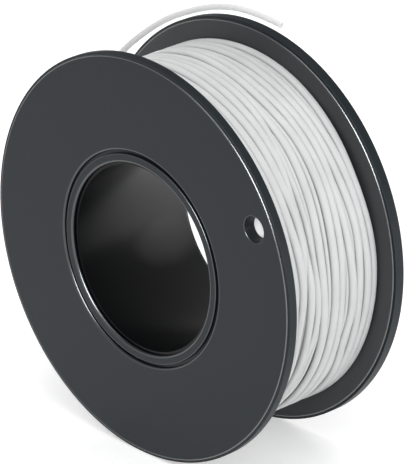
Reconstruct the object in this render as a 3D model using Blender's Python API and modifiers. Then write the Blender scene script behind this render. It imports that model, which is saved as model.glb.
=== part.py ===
"""Filament spool: two round flanges on a tube, wound with thick plastic filament.

The spool stands on its rims. Its axis runs along Y, the front flange is at -Y, +Z is up, and the origin is on
the floor under the middle of the spool. Sizes are in millimetres and become metres on the way into Blender.
"""

import math

import bpy
import numpy as np
from mathutils import Vector

# Overall
FLANGE_DIAMETER = 200.0
OVERALL_WIDTH = 74.4

# Flange
FLANGE_THICKNESS = 5.8
RIM_ROUNDING = 1.0
LIP_STEP = 1.0
LIP_THICKNESS = 1.4
LIP_ROUNDING = 0.4
GROOVE_WALL = 1.7
GROOVE_WIDTH = 1.9
GROOVE_DEPTH = 1.5
COLLAR_WALL = 4.0
COLLAR_LENGTH = 8.0
DRIVE_HOLE_DIAMETER = 12.4
DRIVE_HOLE_RIM_DISTANCE = 13.8
DRIVE_HOLE_ANGLE = 27.0
CUTTER_OVERRUN = 5.0

# Tube
TUBE_BORE_RADIUS = 46.3
TUBE_WALL = 3.4

# Filament
FILAMENT_DIAMETER = 3.0
WINDING_RIM_MARGIN = 10.3
LEAST_TURN_SPACE = 1.2
CROSSING_TURN = 125.0
CLIMB_SHARE = 0.45
CROSSING_START_SHARE = 0.3
FREE_END_ANGLE = 175.0
FREE_END_REAR_DISTANCE = 21.6

# Gaps between pieces
SEAT_CLEARANCE = 0.3
TURN_CLEARANCE = 0.5

# Smoothness
ROUND_STEPS = 72
HOLE_STEPS = 24
ROUNDING_STEPS = 3
LOOP_POINTS = 24
FREE_END_SPACING = 2.5
FINE_STEPS = 40
SHARP_ANGLE = 35.0

MM = 0.001

FLANGE_RADIUS = FLANGE_DIAMETER / 2
# The rims stand on a flat of the many-sided circle, so the axis is a little lower than the radius.
AXIS_HEIGHT = FLANGE_RADIUS * math.cos(math.pi / ROUND_STEPS)
LIP_BORE_RADIUS = TUBE_BORE_RADIUS + LIP_STEP
TUBE_OUTER_RADIUS = TUBE_BORE_RADIUS + TUBE_WALL
SOCKET_RADIUS = TUBE_OUTER_RADIUS + SEAT_CLEARANCE
COLLAR_RADIUS = SOCKET_RADIUS + COLLAR_WALL
GROOVE_INNER_RADIUS = SOCKET_RADIUS + GROOVE_WALL
GROOVE_OUTER_RADIUS = GROOVE_INNER_RADIUS + GROOVE_WIDTH
INNER_WIDTH = OVERALL_WIDTH - 2 * FLANGE_THICKNESS
WINDING_RADIUS = FLANGE_RADIUS - WINDING_RIM_MARGIN
TURN_RADIUS = WINDING_RADIUS - FILAMENT_DIAMETER / 2
# A turn is a many-sided ring, whose sides come closer to the axis than its corners.
PACK_RADIUS = TURN_RADIUS * math.cos(math.pi / LOOP_POINTS) - FILAMENT_DIAMETER / 2 - SEAT_CLEARANCE
CROSSING_RADIUS = TURN_RADIUS + FILAMENT_DIAMETER + TURN_CLEARANCE
FREE_END_SIDE = INNER_WIDTH / 2 - FREE_END_REAR_DISTANCE

# The free end's route, from where it leaves the winding to its tip: degrees round the axis from there, height
# of its middle line over the crossing turn's, and drift towards the rear flange.
FREE_END_ROUTE = [
    (10.0, 0.5, 0.3),
    (22.0, 2.0, 0.8),
    (34.0, 4.0, 1.4),
    (44.5, 6.0, 2.1),
    (55.0, 8.2, 3.0),
    (65.0, 11.7, 4.0),
    (74.0, 15.3, 5.0),
    (82.0, 19.3, 5.9),
    (89.0, 22.6, 6.7),
    (95.0, 24.6, 7.4),
    (100.0, 26.2, 8.0),
    (103.5, 27.4, 8.5),
]


def arc(centre, radius, start, stop, steps=ROUNDING_STEPS):
    """Points of an arc in the (radius, depth) plane, from start to stop degrees."""
    angles = [math.radians(start + (stop - start) * i / steps) for i in range(steps + 1)]
    return [(centre[0] + radius * math.cos(a), centre[1] + radius * math.sin(a)) for a in angles]


def spool_point(angle, radius, side):
    """A point in metres, at an angle in degrees and a radius round the axis, and a place along it."""
    turn = math.radians(angle)
    return Vector((radius * math.cos(turn), side, AXIS_HEIGHT + radius * math.sin(turn))) * MM


def smooth_step(share):
    """Runs from 0 to 1 with no slope at either end."""
    share = min(max(share, 0.0), 1.0)
    return share * share * (3 - 2 * share)


def clear_scene():
    for old in list(bpy.data.objects):
        bpy.data.objects.remove(old, do_unlink=True)


def new_collection(name):
    collection = bpy.data.collections.new(name)
    bpy.context.scene.collection.children.link(collection)
    return collection


def make_material(name, colour, roughness):
    material = bpy.data.materials.new(name)
    material.use_nodes = True
    shader = material.node_tree.nodes["Principled BSDF"]
    shader.inputs["Base Color"].default_value = (*colour, 1.0)
    shader.inputs["Roughness"].default_value = roughness
    shader.inputs["Metallic"].default_value = 0.0
    material.diffuse_color = (*colour, 1.0)
    return material


def turned(name, profile, collection, material):
    """A closed profile of (radius, depth) points, turned about its own Z axis.

    The profile's outer side runs up, and a Screw's faces point out where that side runs down, so the profile
    is reversed.
    """
    mesh = bpy.data.meshes.new(name)
    points = [(radius * MM, 0.0, depth * MM) for radius, depth in reversed(profile)]
    edges = [(i, (i + 1) % len(points)) for i in range(len(points))]
    mesh.from_pydata(points, edges, [])
    piece = bpy.data.objects.new(name, mesh)
    collection.objects.link(piece)
    screw = piece.modifiers.new("Turn", "SCREW")
    screw.steps = ROUND_STEPS
    screw.render_steps = ROUND_STEPS
    screw.use_merge_vertices = True
    screw.merge_threshold = 0.00001
    mesh.materials.append(material)
    piece.data = bpy.data.meshes.new_from_object(piece.evaluated_get(bpy.context.evaluated_depsgraph_get()))
    piece.modifiers.clear()
    piece.data.shade_smooth()
    piece.data.set_sharp_from_angle(angle=math.radians(SHARP_ANGLE))
    return piece


def face_along(piece, side, direction):
    """Puts a turned piece on the spool's axis, its depth running along +Y or -Y, with a flat side down."""
    half_step = math.pi / ROUND_STEPS
    piece.location = (0.0, side * MM, AXIS_HEIGHT * MM)
    piece.rotation_mode = "XYZ"
    piece.rotation_euler = (-direction * math.pi / 2, direction * half_step, 0.0)


def flange_profile():
    """The flange's outline from its outer face inwards: lip, groove, rim, inner face, collar and socket."""
    rim = RIM_ROUNDING
    inner = FLANGE_THICKNESS
    collar_end = inner + COLLAR_LENGTH
    outline = arc((LIP_BORE_RADIUS + LIP_ROUNDING, LIP_ROUNDING), LIP_ROUNDING, 180, 270, 2)
    outline += [
        (GROOVE_INNER_RADIUS, 0.0),
        (GROOVE_INNER_RADIUS, GROOVE_DEPTH),
        (GROOVE_OUTER_RADIUS, GROOVE_DEPTH),
        (GROOVE_OUTER_RADIUS, 0.0),
    ]
    outline += arc((FLANGE_RADIUS - rim, rim), rim, 270, 360)
    outline += arc((FLANGE_RADIUS - rim, inner - rim), rim, 0, 90)
    outline += [
        (COLLAR_RADIUS, inner),
        (COLLAR_RADIUS, collar_end),
        (SOCKET_RADIUS, collar_end),
        (SOCKET_RADIUS, LIP_THICKNESS),
        (LIP_BORE_RADIUS, LIP_THICKNESS),
    ]
    return outline


def make_drive_hole_cutter(name, angle, side, collection):
    radius = FLANGE_RADIUS - DRIVE_HOLE_RIM_DISTANCE
    bpy.ops.mesh.primitive_cylinder_add(
        vertices=HOLE_STEPS,
        radius=DRIVE_HOLE_DIAMETER / 2 * MM,
        depth=(FLANGE_THICKNESS + 2 * CUTTER_OVERRUN) * MM,
        location=spool_point(angle, radius, side),
        rotation=(math.pi / 2, 0.0, 0.0),
    )
    cutter = bpy.context.object
    cutter.name = name
    for owner in list(cutter.users_collection):
        owner.objects.unlink(cutter)
    collection.objects.link(cutter)
    cutter.hide_render = True
    cutter.display_type = "WIRE"
    return cutter


def make_flange(name, direction, parts, cutters, material):
    """A flange whose outer face is at one end of the spool; direction runs from that face inwards along Y.

    Both flanges are the same moulding. The rear one is turned round, so its drive hole is on the other side.
    """
    flange = turned(name, flange_profile(), parts, material)
    outer_face = -direction * OVERALL_WIDTH / 2
    face_along(flange, outer_face, direction)
    middle = outer_face + direction * FLANGE_THICKNESS / 2
    hole_angle = 90 - direction * (90 - DRIVE_HOLE_ANGLE)
    hole = flange.modifiers.new("Drive hole", "BOOLEAN")
    hole.operation = "DIFFERENCE"
    hole.object = make_drive_hole_cutter(name + "_drive_hole", hole_angle, middle, cutters)
    return flange


def make_core_tube(parts, material):
    """The tube, held between the lips of the two flanges."""
    length = OVERALL_WIDTH - 2 * (LIP_THICKNESS + SEAT_CLEARANCE)
    outline = [
        (TUBE_BORE_RADIUS, 0.0),
        (TUBE_OUTER_RADIUS, 0.0),
        (TUBE_OUTER_RADIUS, length),
        (TUBE_BORE_RADIUS, length),
    ]
    tube = turned("core_tube", outline, parts, material)
    face_along(tube, -length / 2, 1)
    return tube


def make_filament_pack(parts, material):
    """The inner layers of filament, which lie on the tube and on the collars of the flanges."""
    length = INNER_WIDTH - 2 * SEAT_CLEARANCE
    step = COLLAR_LENGTH
    on_collar = COLLAR_RADIUS + SEAT_CLEARANCE
    on_tube = TUBE_OUTER_RADIUS + SEAT_CLEARANCE
    outline = [
        (on_collar, 0.0),
        (PACK_RADIUS, 0.0),
        (PACK_RADIUS, length),
        (on_collar, length),
        (on_collar, length - step),
        (on_tube, length - step),
        (on_tube, step),
        (on_collar, step),
    ]
    pack = turned("filament_pack", outline, parts, material)
    face_along(pack, -length / 2, 1)
    return pack


def tube_along(name, points, sides, parts, material):
    """A round tube of filament along points in metres, with closed ends."""
    curve = bpy.data.curves.new(name, "CURVE")
    curve.dimensions = "3D"
    curve.bevel_depth = FILAMENT_DIAMETER / 2 * MM
    curve.bevel_resolution = sides
    curve.use_fill_caps = True
    spline = curve.splines.new("POLY")
    spline.points.add(len(points) - 1)
    for place, point in zip(spline.points, points):
        place.co = (*point, 1.0)
    curve.materials.append(material)
    piece = bpy.data.objects.new(name, curve)
    parts.objects.link(piece)
    return piece


def outer_layer_route():
    """The outer turns from the front flange to the rear one, then a last part turn back over them.

    The filament goes round with a falling angle. The last part turn first climbs one diameter beside the rear
    flange and then crosses the other turns to the side where the free end leaves.
    """
    edge = INNER_WIDTH / 2 - SEAT_CLEARANCE - FILAMENT_DIAMETER / 2
    turns = math.floor(2 * edge / (FILAMENT_DIAMETER + LEAST_TURN_SPACE))
    first_angle = FREE_END_ANGLE + CROSSING_TURN
    points = []
    for i in range(turns * LOOP_POINTS + 1):
        share = i / (turns * LOOP_POINTS)
        angle = first_angle - 360.0 * turns * share
        points.append(spool_point(angle, TURN_RADIUS, -edge + 2 * edge * share))
    steps = round(CROSSING_TURN / 360 * LOOP_POINTS * 2)
    for i in range(1, steps + 1):
        share = i / steps
        angle = first_angle - CROSSING_TURN * share
        climb = smooth_step(share / CLIMB_SHARE)
        across = smooth_step((share - CROSSING_START_SHARE) / (1 - CROSSING_START_SHARE))
        radius = TURN_RADIUS + (CROSSING_RADIUS - TURN_RADIUS) * climb
        points.append(spool_point(angle, radius, edge + (FREE_END_SIDE - edge) * across))
    return points


def straight_ends(points, length):
    """Adds a straight run at both ends of a route, along its own direction there."""
    first = (points[0] - points[1]).normalized() * length
    last = (points[-1] - points[-2]).normalized() * length
    return [points[0] + first, *points, points[-1] + last]


def smooth_route(knots, spacing):
    """Points at even spacing on a Catmull-Rom curve through the knots."""
    fine = []
    padded = [2 * knots[0] - knots[1], *knots, 2 * knots[-1] - knots[-2]]
    for a, b, c, d in zip(padded, padded[1:], padded[2:], padded[3:]):
        bend = 2 * a - 5 * b + 4 * c - d
        twist = 3 * b - a - 3 * c + d
        for i in range(FINE_STEPS):
            t = i / FINE_STEPS
            fine.append(0.5 * (2 * b + (c - a) * t + bend * t**2 + twist * t**3))
    fine.append(knots[-1])
    places = np.array(fine)
    lengths = np.concatenate([[0.0], np.cumsum(np.linalg.norm(np.diff(places, axis=0), axis=1))])
    count = max(2, round(lengths[-1] / spacing))
    wanted = np.linspace(0.0, lengths[-1], count + 1)
    even = np.stack([np.interp(wanted, lengths, places[:, k]) for k in range(3)], axis=1)
    return [Vector(place) for place in even]


def least_self_gap(points):
    """The least open space in millimetres between stretches of one tube that aren't next to each other."""
    places = np.array([point / MM for point in points])
    fine = []
    for start, stop in zip(places, places[1:]):
        steps = max(1, int(np.linalg.norm(stop - start) / 2))
        fine.extend(start + (stop - start) * i / steps for i in range(steps))
    fine = np.array(fine)
    along = np.concatenate([[0.0], np.cumsum(np.linalg.norm(np.diff(fine, axis=0), axis=1))])
    least = math.inf
    for i in range(len(fine)):
        apart = np.abs(along - along[i]) > 5 * FILAMENT_DIAMETER
        if apart.any():
            least = min(least, np.linalg.norm(fine[apart] - fine[i], axis=1).min())
    return least - FILAMENT_DIAMETER


def make_outer_layer(parts, material):
    """The turns that show, as one unbroken tube. Returns its last point and its direction there."""
    points = straight_ends(outer_layer_route(), FILAMENT_DIAMETER * MM)
    tube_along("filament_outer_layer", points, 1, parts, material)
    print(f"outer layer: least gap between turns {least_self_gap(points):.2f} mm")
    return points[-1], (points[-1] - points[-2]).normalized()


def make_free_end(start, direction, parts, material):
    """The stiff loose end, which springs away from the winding in an open arc."""
    begin = start + direction * SEAT_CLEARANCE * MM
    knots = [begin, begin + direction * FILAMENT_DIAMETER * MM]
    for turn, rise, drift in FREE_END_ROUTE:
        knots.append(spool_point(FREE_END_ANGLE - turn, CROSSING_RADIUS + rise, FREE_END_SIDE + drift))
    points = smooth_route(knots, FREE_END_SPACING * FILAMENT_DIAMETER * MM)
    tube_along("filament_free_end", points, 2, parts, material)
    length = sum((b - a).length for a, b in zip(points, points[1:]))
    print(f"free end: {length / MM:.0f} mm long")


def main():
    clear_scene()
    parts = new_collection("filament_spool")
    cutters = new_collection("cutters")
    black = make_material("black_plastic", (0.045, 0.05, 0.055), 0.55)
    white = make_material("white_filament", (0.8, 0.81, 0.79), 0.35)
    make_flange("front_flange", 1, parts, cutters, black)
    make_flange("rear_flange", -1, parts, cutters, black)
    make_core_tube(parts, black)
    make_filament_pack(parts, white)
    start, direction = make_outer_layer(parts, white)
    make_free_end(start, direction, parts, white)


main()
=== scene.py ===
"""Filament spool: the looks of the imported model.

The spool stands on its rims with its axis along Y, the front flange at -Y. All lengths are in metres. Each
piece of the CAD model is replaced by a finer form on the same sizes: two moulded flanges, the tube between
them, the inner turns, the outer turns and the loose end of the filament.
"""

import math

import bmesh
import bpy
import numpy as np
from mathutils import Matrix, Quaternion, Vector


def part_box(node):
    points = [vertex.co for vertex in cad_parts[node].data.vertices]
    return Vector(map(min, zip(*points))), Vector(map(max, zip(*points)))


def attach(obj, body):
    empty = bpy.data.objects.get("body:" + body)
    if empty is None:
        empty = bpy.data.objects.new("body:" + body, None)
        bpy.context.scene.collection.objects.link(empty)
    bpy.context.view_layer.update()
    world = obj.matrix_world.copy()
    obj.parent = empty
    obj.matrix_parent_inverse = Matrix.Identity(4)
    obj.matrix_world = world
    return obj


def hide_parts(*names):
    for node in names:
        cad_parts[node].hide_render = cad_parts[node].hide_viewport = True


bl_info = {
    "name": "Filament spool",
    "version": (1, 0, 0),
    "blender": (4, 5, 0),
    "location": "View3D > Sidebar > Spool",
    "description": "Dresses the packed filament spool and sets its stage",
    "category": "Add Mesh",
}

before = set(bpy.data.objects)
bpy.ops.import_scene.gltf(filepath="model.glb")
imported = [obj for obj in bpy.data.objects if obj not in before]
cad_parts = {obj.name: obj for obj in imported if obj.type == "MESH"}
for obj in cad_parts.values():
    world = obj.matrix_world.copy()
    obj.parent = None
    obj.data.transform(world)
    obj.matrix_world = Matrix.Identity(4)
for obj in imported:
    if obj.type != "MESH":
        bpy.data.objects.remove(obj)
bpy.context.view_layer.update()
FRONT_LOW, FRONT_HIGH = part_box("front_flange")
_, REAR_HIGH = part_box("rear_flange")

MM = 0.001
FRONT_FACE = FRONT_LOW.y
REAR_FACE = REAR_HIGH.y
AXIS_HEIGHT = (FRONT_LOW.z + FRONT_HIGH.z) / 2
MERGE_DISTANCE = 1e-7

# Points along a rounded edge, how far beside it the flat side is held, and steps round the tube and the pack.
ARC_STEPS = 4
EDGE_SUPPORT = 0.00006
RING_STEPS = 240

# The ends of a filament, as shares of its radius: the bevel, and two rings inside it.
TIP_BEVEL = 0.12
TIP_RINGS = (0.3, 0.45)


def length(name, description, default):
    """A property that holds a length in metres."""
    return bpy.props.FloatProperty(
        name=name, description=description, default=default, min=0.0, precision=5, unit="LENGTH"
    )


def share(name, description, default, highest=1.0):
    """A property that holds a plain number from zero up."""
    return bpy.props.FloatProperty(
        name=name, description=description, default=default, min=0.0, max=highest, precision=3
    )


def colour(name, description, default):
    """A property that holds a colour in linear values."""
    return bpy.props.FloatVectorProperty(
        name=name, description=description, default=default, size=3, min=0.0, max=1.0, subtype="COLOR"
    )


def angle(name, description, default):
    """A property that holds an angle, given here in degrees."""
    return bpy.props.FloatProperty(
        name=name, description=description, default=math.radians(default), subtype="ANGLE"
    )


class SpoolFlangeSizes(bpy.types.PropertyGroup):
    rim_radius: length("Rim radius", "From the spool's axis to the rim", 0.1)
    thickness: length("Thickness", "From the outer face to the inner face", 0.0058)
    step_radius: length("Step radius", "Where each flange's front face steps back before the rim", 0.0987)
    step_depth: length("Step depth", "How far the face steps back", 0.00055)
    step_rounding: length("Step rounding", "Radius of the step's edge", 0.00045)
    rim_rounding: length("Rim rounding", "Radius of the rim's front edge", 0.00015)
    front_back_rounding: length("Front rim back", "Radius of the front rim's edge beside the winding", 0.0014)
    rear_back_rounding: length("Rear rim back", "Radius of the rear rim's back edge", 0.0003)
    lip_radius: length("Lip radius", "The round opening in the front flange", 0.0472)
    rear_lip_radius: length("Rear lip radius", "The round opening in the rear flange", 0.0475)
    lip_thickness: length("Lip thickness", "The lip that holds the end of the tube", 0.0016)
    lip_rounding: length("Lip rounding", "Radius of the lip's outer edge", 0.0011)
    socket_radius: length("Socket radius", "The bore that the tube sits in", 0.05)
    collar_radius: length("Collar radius", "Outside of the collar round the tube", 0.054)
    collar_length: length("Collar length", "How far the collar stands out of the inner face", 0.008)
    groove_inner: length("Groove inner radius", "Inner wall of the ring groove", 0.0515)
    groove_outer: length("Groove outer radius", "Outer wall of the ring groove", 0.0531)
    groove_depth: length("Groove depth", "Depth of the ring groove", 0.0018)
    groove_inner_rounding: length("Groove inner edge", "Radius of the groove's inner edge", 0.0004)
    groove_outer_rounding: length("Groove outer edge", "Radius of the groove's outer edge", 0.0011)
    edge_rounding: length("Edge rounding", "Radius of the moulding's small edges", 0.0002)
    hole_radius: length("Drive hole radius", "Radius of the hole near the rim, at the outer face", 0.0063)
    hole_taper: length("Drive hole taper", "How much smaller the hole's radius is at the inner face", 0.0009)
    hole_rounding: length("Drive hole rounding", "Radius of the hole's edges", 0.0005)
    hole_place: length("Drive hole place", "From the spool's axis to the hole's middle", 0.0862)
    hole_angle: angle("Drive hole angle", "Angle of the front flange's hole above +X", 27.0)


class SpoolTubeSizes(bpy.types.PropertyGroup):
    front_bore: length("Front bore", "Inside of the tube at its front end", 0.04575)
    rear_bore: length("Rear bore", "Inside of the tube at its rear end", 0.04695)
    outer_radius: length("Outer radius", "Outside of the tube", 0.0497)
    end_gap: length("End gap", "From a flange's outer face to the end of the tube", 0.0019)
    rounding: length("Rounding", "Radius of the tube's edges", 0.0002)


class SpoolWindingSizes(bpy.types.PropertyGroup):
    radius: length("Filament radius", "Half the filament's thickness", 0.0015)
    turn_radius: length("Turn radius", "Middle line of the outer turns round the axis", 0.0882)
    crossing_rise: length("Crossing rise", "Height of the last turn over the others", 0.0035)
    pack_radius: length("Pack radius", "Top of the turns below the two layers that show", 0.0848)
    pack_pitch: length("Pack pitch", "Distance between turns that lie side by side", 0.0031)
    widest_lean: share("Widest lean", "How much wider a turn may be on the side of the turn before", 2.1, 4.0)
    clearance: length("Clearance", "Gap between the winding and its neighbours", 0.0003)


class SpoolFinishes(bpy.types.PropertyGroup):
    plastic: colour("Black plastic", "Colour of the flanges", (0.002, 0.007, 0.011))
    plastic_worn: colour("Worn plastic", "Colour of dull patches and scuffs", (0.012, 0.017, 0.021))
    # Partly painted highlight: the edges take this lighter colour for the bright line they catch; the coat on
    # them is real gloss.
    plastic_painted_highlight: colour("Edge plastic", "Colour of edges burnished by handling", (0.035, 0.037, 0.04))
    # Painted bounce light: the inner faces are painted a lighter grey for the light the white filament throws
    # on them.
    plastic_painted_bounce: colour("Rubbed plastic", "Colour of the flanges' inner faces", (0.058, 0.06, 0.063))
    plastic_roughness: share("Plastic roughness", "Dullness of the moulded faces", 0.42)
    tube: colour("Tube plastic", "Colour of the tube", (0.0015, 0.002, 0.0025))
    tube_worn: colour("Worn tube plastic", "Colour of the tube's dull patches", (0.004, 0.005, 0.006))
    # Painted light: the colour of a pale patch inside the tube that stands in for the lamps' light on its wall.
    tube_painted_light_patch: colour("Tube dust", "Colour of a dusty patch inside the tube", (0.10, 0.095, 0.10))
    tube_roughness: share("Tube roughness", "Dullness of the drawn tube", 0.32)
    filament: colour("White filament", "Colour of the filament", (0.765, 0.775, 0.775))
    filament_shade: colour("Filament shade", "Colour of the filament's milky bands", (0.685, 0.70, 0.70))
    # Painted shade: the colour that the creases between the outer turns are darkened towards.
    filament_painted_shade: colour("Filament creases", "Colour down between the outer turns", (0.30, 0.305, 0.30))
    # Painted light: a lighter copy of the filament colour for the free end, for the light a single thread lets
    # through.
    filament_single_painted_brighter: colour("Single filament", "Colour where one filament stands clear", (0.93, 0.94, 0.935))
    filament_roughness: share("Filament roughness", "Dullness of the filament", 0.42)
    floor: colour("Floor", "Colour of the floor", (0.88, 0.88, 0.88))


class SpoolStageSizes(bpy.types.PropertyGroup):
    camera_place: bpy.props.FloatVectorProperty(
        name="Camera place", description="Where the camera stands", default=(1.4618, -1.3719, 0.9703), size=3,
        subtype="TRANSLATION", unit="LENGTH",
    )
    camera_azimuth: angle("Camera azimuth", "Heading, measured from +Y towards -X", 46.7304)
    camera_elevation: angle("Camera elevation", "Angle of the view below the horizon", 23.3987)
    camera_roll: angle("Camera roll", "Turn of the picture", -0.222)
    camera_lens: bpy.props.FloatProperty(
        name="Lens", description="Focal length in millimetres on a 36 mm sensor", default=358.52, min=1.0
    )
    floor_radius: length("Floor radius", "Radius of the round floor", 6.0)
    horizon: share("Horizon", "Brightness of the surroundings in front, near the floor", 0.8, 10.0)
    overhead: share("Overhead", "Brightness of the surroundings higher up and behind", 0.3, 10.0)
    key: share("Key", "Brightness of the main soft lamp", 2.0, 100.0)
    edge_light: share("Edge light", "Brightness of the lamp that the edges catch", 19.0, 100.0)
    edge_light_tint: colour("Edge light tint", "Colour of the lamp that the edges catch", (0.93, 0.97, 1.0))
    front_light: share("Front light", "Brightness of the lamp on the pack in the drive hole", 13.0, 100.0)
    top: share("Top", "Brightness of the wide lamp above", 2.5, 100.0)
    back: share("Back", "Brightness of the soft lamp behind on the left", 3.5, 100.0)
    side: share("Side", "Brightness of the low soft lamp on the right", 6.5, 100.0)


# ---------------------------------------------------------------- shapes


def smooth_step(value):
    """Runs from 0 to 1 with no slope at either end: 3 v squared minus 2 v cubed, v held between 0 and 1."""
    value = np.clip(value, 0.0, 1.0)
    return value * value * (3 - 2 * value)


def rounded_outline(corners):
    """A closed outline of (radius, depth) points from nearly square corners (radius, depth, rounding).

    Where the rounding is r, with unit vectors p and n from the corner to its neighbours, the corner becomes the
    arc C - r (n cos a + p sin a), a from 0 to 90 degrees, about C = corner + r p + r n. One point just before
    and one just after the arc keep the flat sides flat under smooth shading.
    """
    places = np.array([corner[:2] for corner in corners])
    outline = []
    for i, (here, (_, _, rounding)) in enumerate(zip(places, corners)):
        if not rounding:
            outline.append(here[None, :])
            continue
        before = places[i - 1] - here
        after = places[(i + 1) % len(places)] - here
        before, after = before / np.linalg.norm(before), after / np.linalg.norm(after)
        turn = np.linspace(0.0, math.pi / 2, ARC_STEPS + 1)[:, None]
        middle = here + rounding * (before + after)
        outline.append((here + (rounding + EDGE_SUPPORT) * before)[None, :])
        outline.append(middle - rounding * (after * np.cos(turn) + before * np.sin(turn)))
        outline.append((here + (rounding + EDGE_SUPPORT) * after)[None, :])
    return np.concatenate(outline)


def round_axis(turn, radius, side):
    """Points at an angle and a radius round the spool's axis: (r cos a, side, axis height + r sin a)."""
    turn, radius, side = np.broadcast_arrays(turn, radius, side)
    return np.stack([radius * np.cos(turn), side, AXIS_HEIGHT + radius * np.sin(turn)], axis=-1)


def grid_faces(rows, columns, wrap_rows, wrap_columns):
    """Corner numbers of the faces between neighbouring points of a grid, which may close on itself."""
    row, column = np.meshgrid(
        np.arange(rows if wrap_rows else rows - 1),
        np.arange(columns if wrap_columns else columns - 1),
        indexing="ij",
    )
    next_row, next_column = (row + 1) % rows, (column + 1) % columns
    corners = [
        row * columns + column,
        row * columns + next_column,
        next_row * columns + next_column,
        next_row * columns + column,
    ]
    return np.stack(corners, axis=-1)


def add_piece(name, grids, node, material, sharp_angle=35.0):
    """Makes one piece from (points, faces, uvs) grids, closes its seams and sets it to ride on the spool."""
    points = np.concatenate([grid[0].reshape(-1, 3) for grid in grids])
    starts = np.cumsum([0] + [grid[0].reshape(-1, 3).shape[0] for grid in grids])
    faces = np.concatenate([grid[1].reshape(-1, 4) + start for grid, start in zip(grids, starts)])
    mesh = bpy.data.meshes.new(name)
    mesh.vertices.add(len(points))
    mesh.vertices.foreach_set("co", points.astype(np.float32).ravel())
    mesh.loops.add(faces.size)
    mesh.loops.foreach_set("vertex_index", faces.astype(np.int32).ravel())
    mesh.polygons.add(len(faces))
    mesh.polygons.foreach_set("loop_start", np.arange(0, faces.size, 4, dtype=np.int32))
    if all(len(grid) > 2 for grid in grids):
        uvs = np.concatenate([grid[2].reshape(-1, 2) for grid in grids])
        mesh.uv_layers.new(name="filament").data.foreach_set("uv", uvs.astype(np.float32).ravel())
    mesh.update(calc_edges=True)
    work = bmesh.new()
    work.from_mesh(mesh)
    bmesh.ops.remove_doubles(work, verts=work.verts, dist=MERGE_DISTANCE)
    bmesh.ops.recalc_face_normals(work, faces=work.faces)
    work.to_mesh(mesh)
    work.free()
    mesh.shade_smooth()
    mesh.set_sharp_from_angle(angle=math.radians(sharp_angle))
    mesh.materials.append(material)
    piece = bpy.data.objects.new(name, mesh)
    bpy.context.scene.collection.objects.link(piece)
    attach(piece, "root")
    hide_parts(node)
    return piece


def turned(outline, steps, outer_face, direction):
    """The outline carried round the axis: point (i, j) is outline point j at angle 2 pi i / steps.

    Depth runs from the outer face along direction, +1 or -1, on Y.
    """
    turn = np.arange(steps)[:, None] * 2 * math.pi / steps
    return round_axis(turn, outline[None, :, 0], outer_face + direction * outline[None, :, 1])


def through(at, knots):
    """The smooth curve through knots (x, y): on each stretch the cubic with the knots' slopes at its ends."""
    x, y = np.array(knots, dtype=float).T
    slope = np.gradient(y, x)
    i = np.clip(np.searchsorted(x, at) - 1, 0, len(x) - 2)
    step = x[i + 1] - x[i]
    t = np.clip((at - x[i]) / step, 0.0, 1.0)
    start = y[i] * (1 + 2 * t) * (1 - t) ** 2 + step * slope[i] * t * (1 - t) ** 2
    return start + y[i + 1] * t**2 * (3 - 2 * t) + step * slope[i + 1] * t**2 * (t - 1)


def filament_along(path, radius, sides, lean=None, hollow=0.0):
    """A round filament along path, with closed, slightly rounded ends, as (points, faces, uvs).

    Point (i, j) is path(i) + r (n cos a + b sin a), a = 2 pi j / sides, with n the part of the direction away
    from the spool's axis that is square to the path, and b square to both. On the side towards the front
    flange b is multiplied by lean(i), so that a turn fills the space up to the turn before it. Each end closes
    over a bevel ring, a flat ring, a small ring set in by hollow, and a point as deep as that.
    """
    along = np.gradient(path, axis=0)
    along /= np.linalg.norm(along, axis=1)[:, None]
    away = path - np.stack([np.zeros(len(path)), path[:, 1], np.full(len(path), AXIS_HEIGHT)], axis=1)
    away -= (away * along).sum(axis=1)[:, None] * along
    away /= np.linalg.norm(away, axis=1)[:, None]
    across = np.cross(along, away)
    bevel = TIP_BEVEL * radius
    order = np.concatenate([[0, 0, 0, 0], np.arange(len(path)), [-1, -1, -1, -1]])
    shift = np.zeros(len(order))
    shift[[0, 1, 4]], shift[[-1, -2, -5]] = (hollow, hollow, bevel), (-hollow, -hollow, -bevel)
    size = np.full(len(order), radius)
    tip = (0.0, *(share_of * radius for share_of in TIP_RINGS), radius - bevel)
    size[[0, 1, 2, 3]] = size[[-1, -2, -3, -4]] = tip
    middle = path[order] + shift[:, None] * along[order]
    turn = np.arange(sides + 1) * 2 * math.pi / sides + math.pi
    reach = np.broadcast_to(np.sin(turn), (len(order), sides + 1))
    if lean is not None:
        toward_front = reach * across[order][:, 1:2] < 0
        reach = np.where(toward_front, reach * lean[order][:, None], reach)
    ring = away[order][:, None] * np.cos(turn)[None, :, None] + across[order][:, None] * reach[..., None]
    points = middle[:, None] + size[:, None, None] * ring
    faces = grid_faces(len(order), sides + 1, False, False)
    run = np.concatenate([[0.0], np.cumsum(np.linalg.norm(np.diff(middle, axis=0), axis=1))])
    u = np.broadcast_to(run[:, None], points.shape[:2])
    v = np.broadcast_to(np.arange(sides + 1)[None, :] * 2 * radius * math.pi / sides, points.shape[:2])
    uvs = np.stack([u, v], axis=-1).reshape(-1, 2)[faces]
    return points, faces, uvs


# ---------------------------------------------------------------- shader maths


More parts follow.
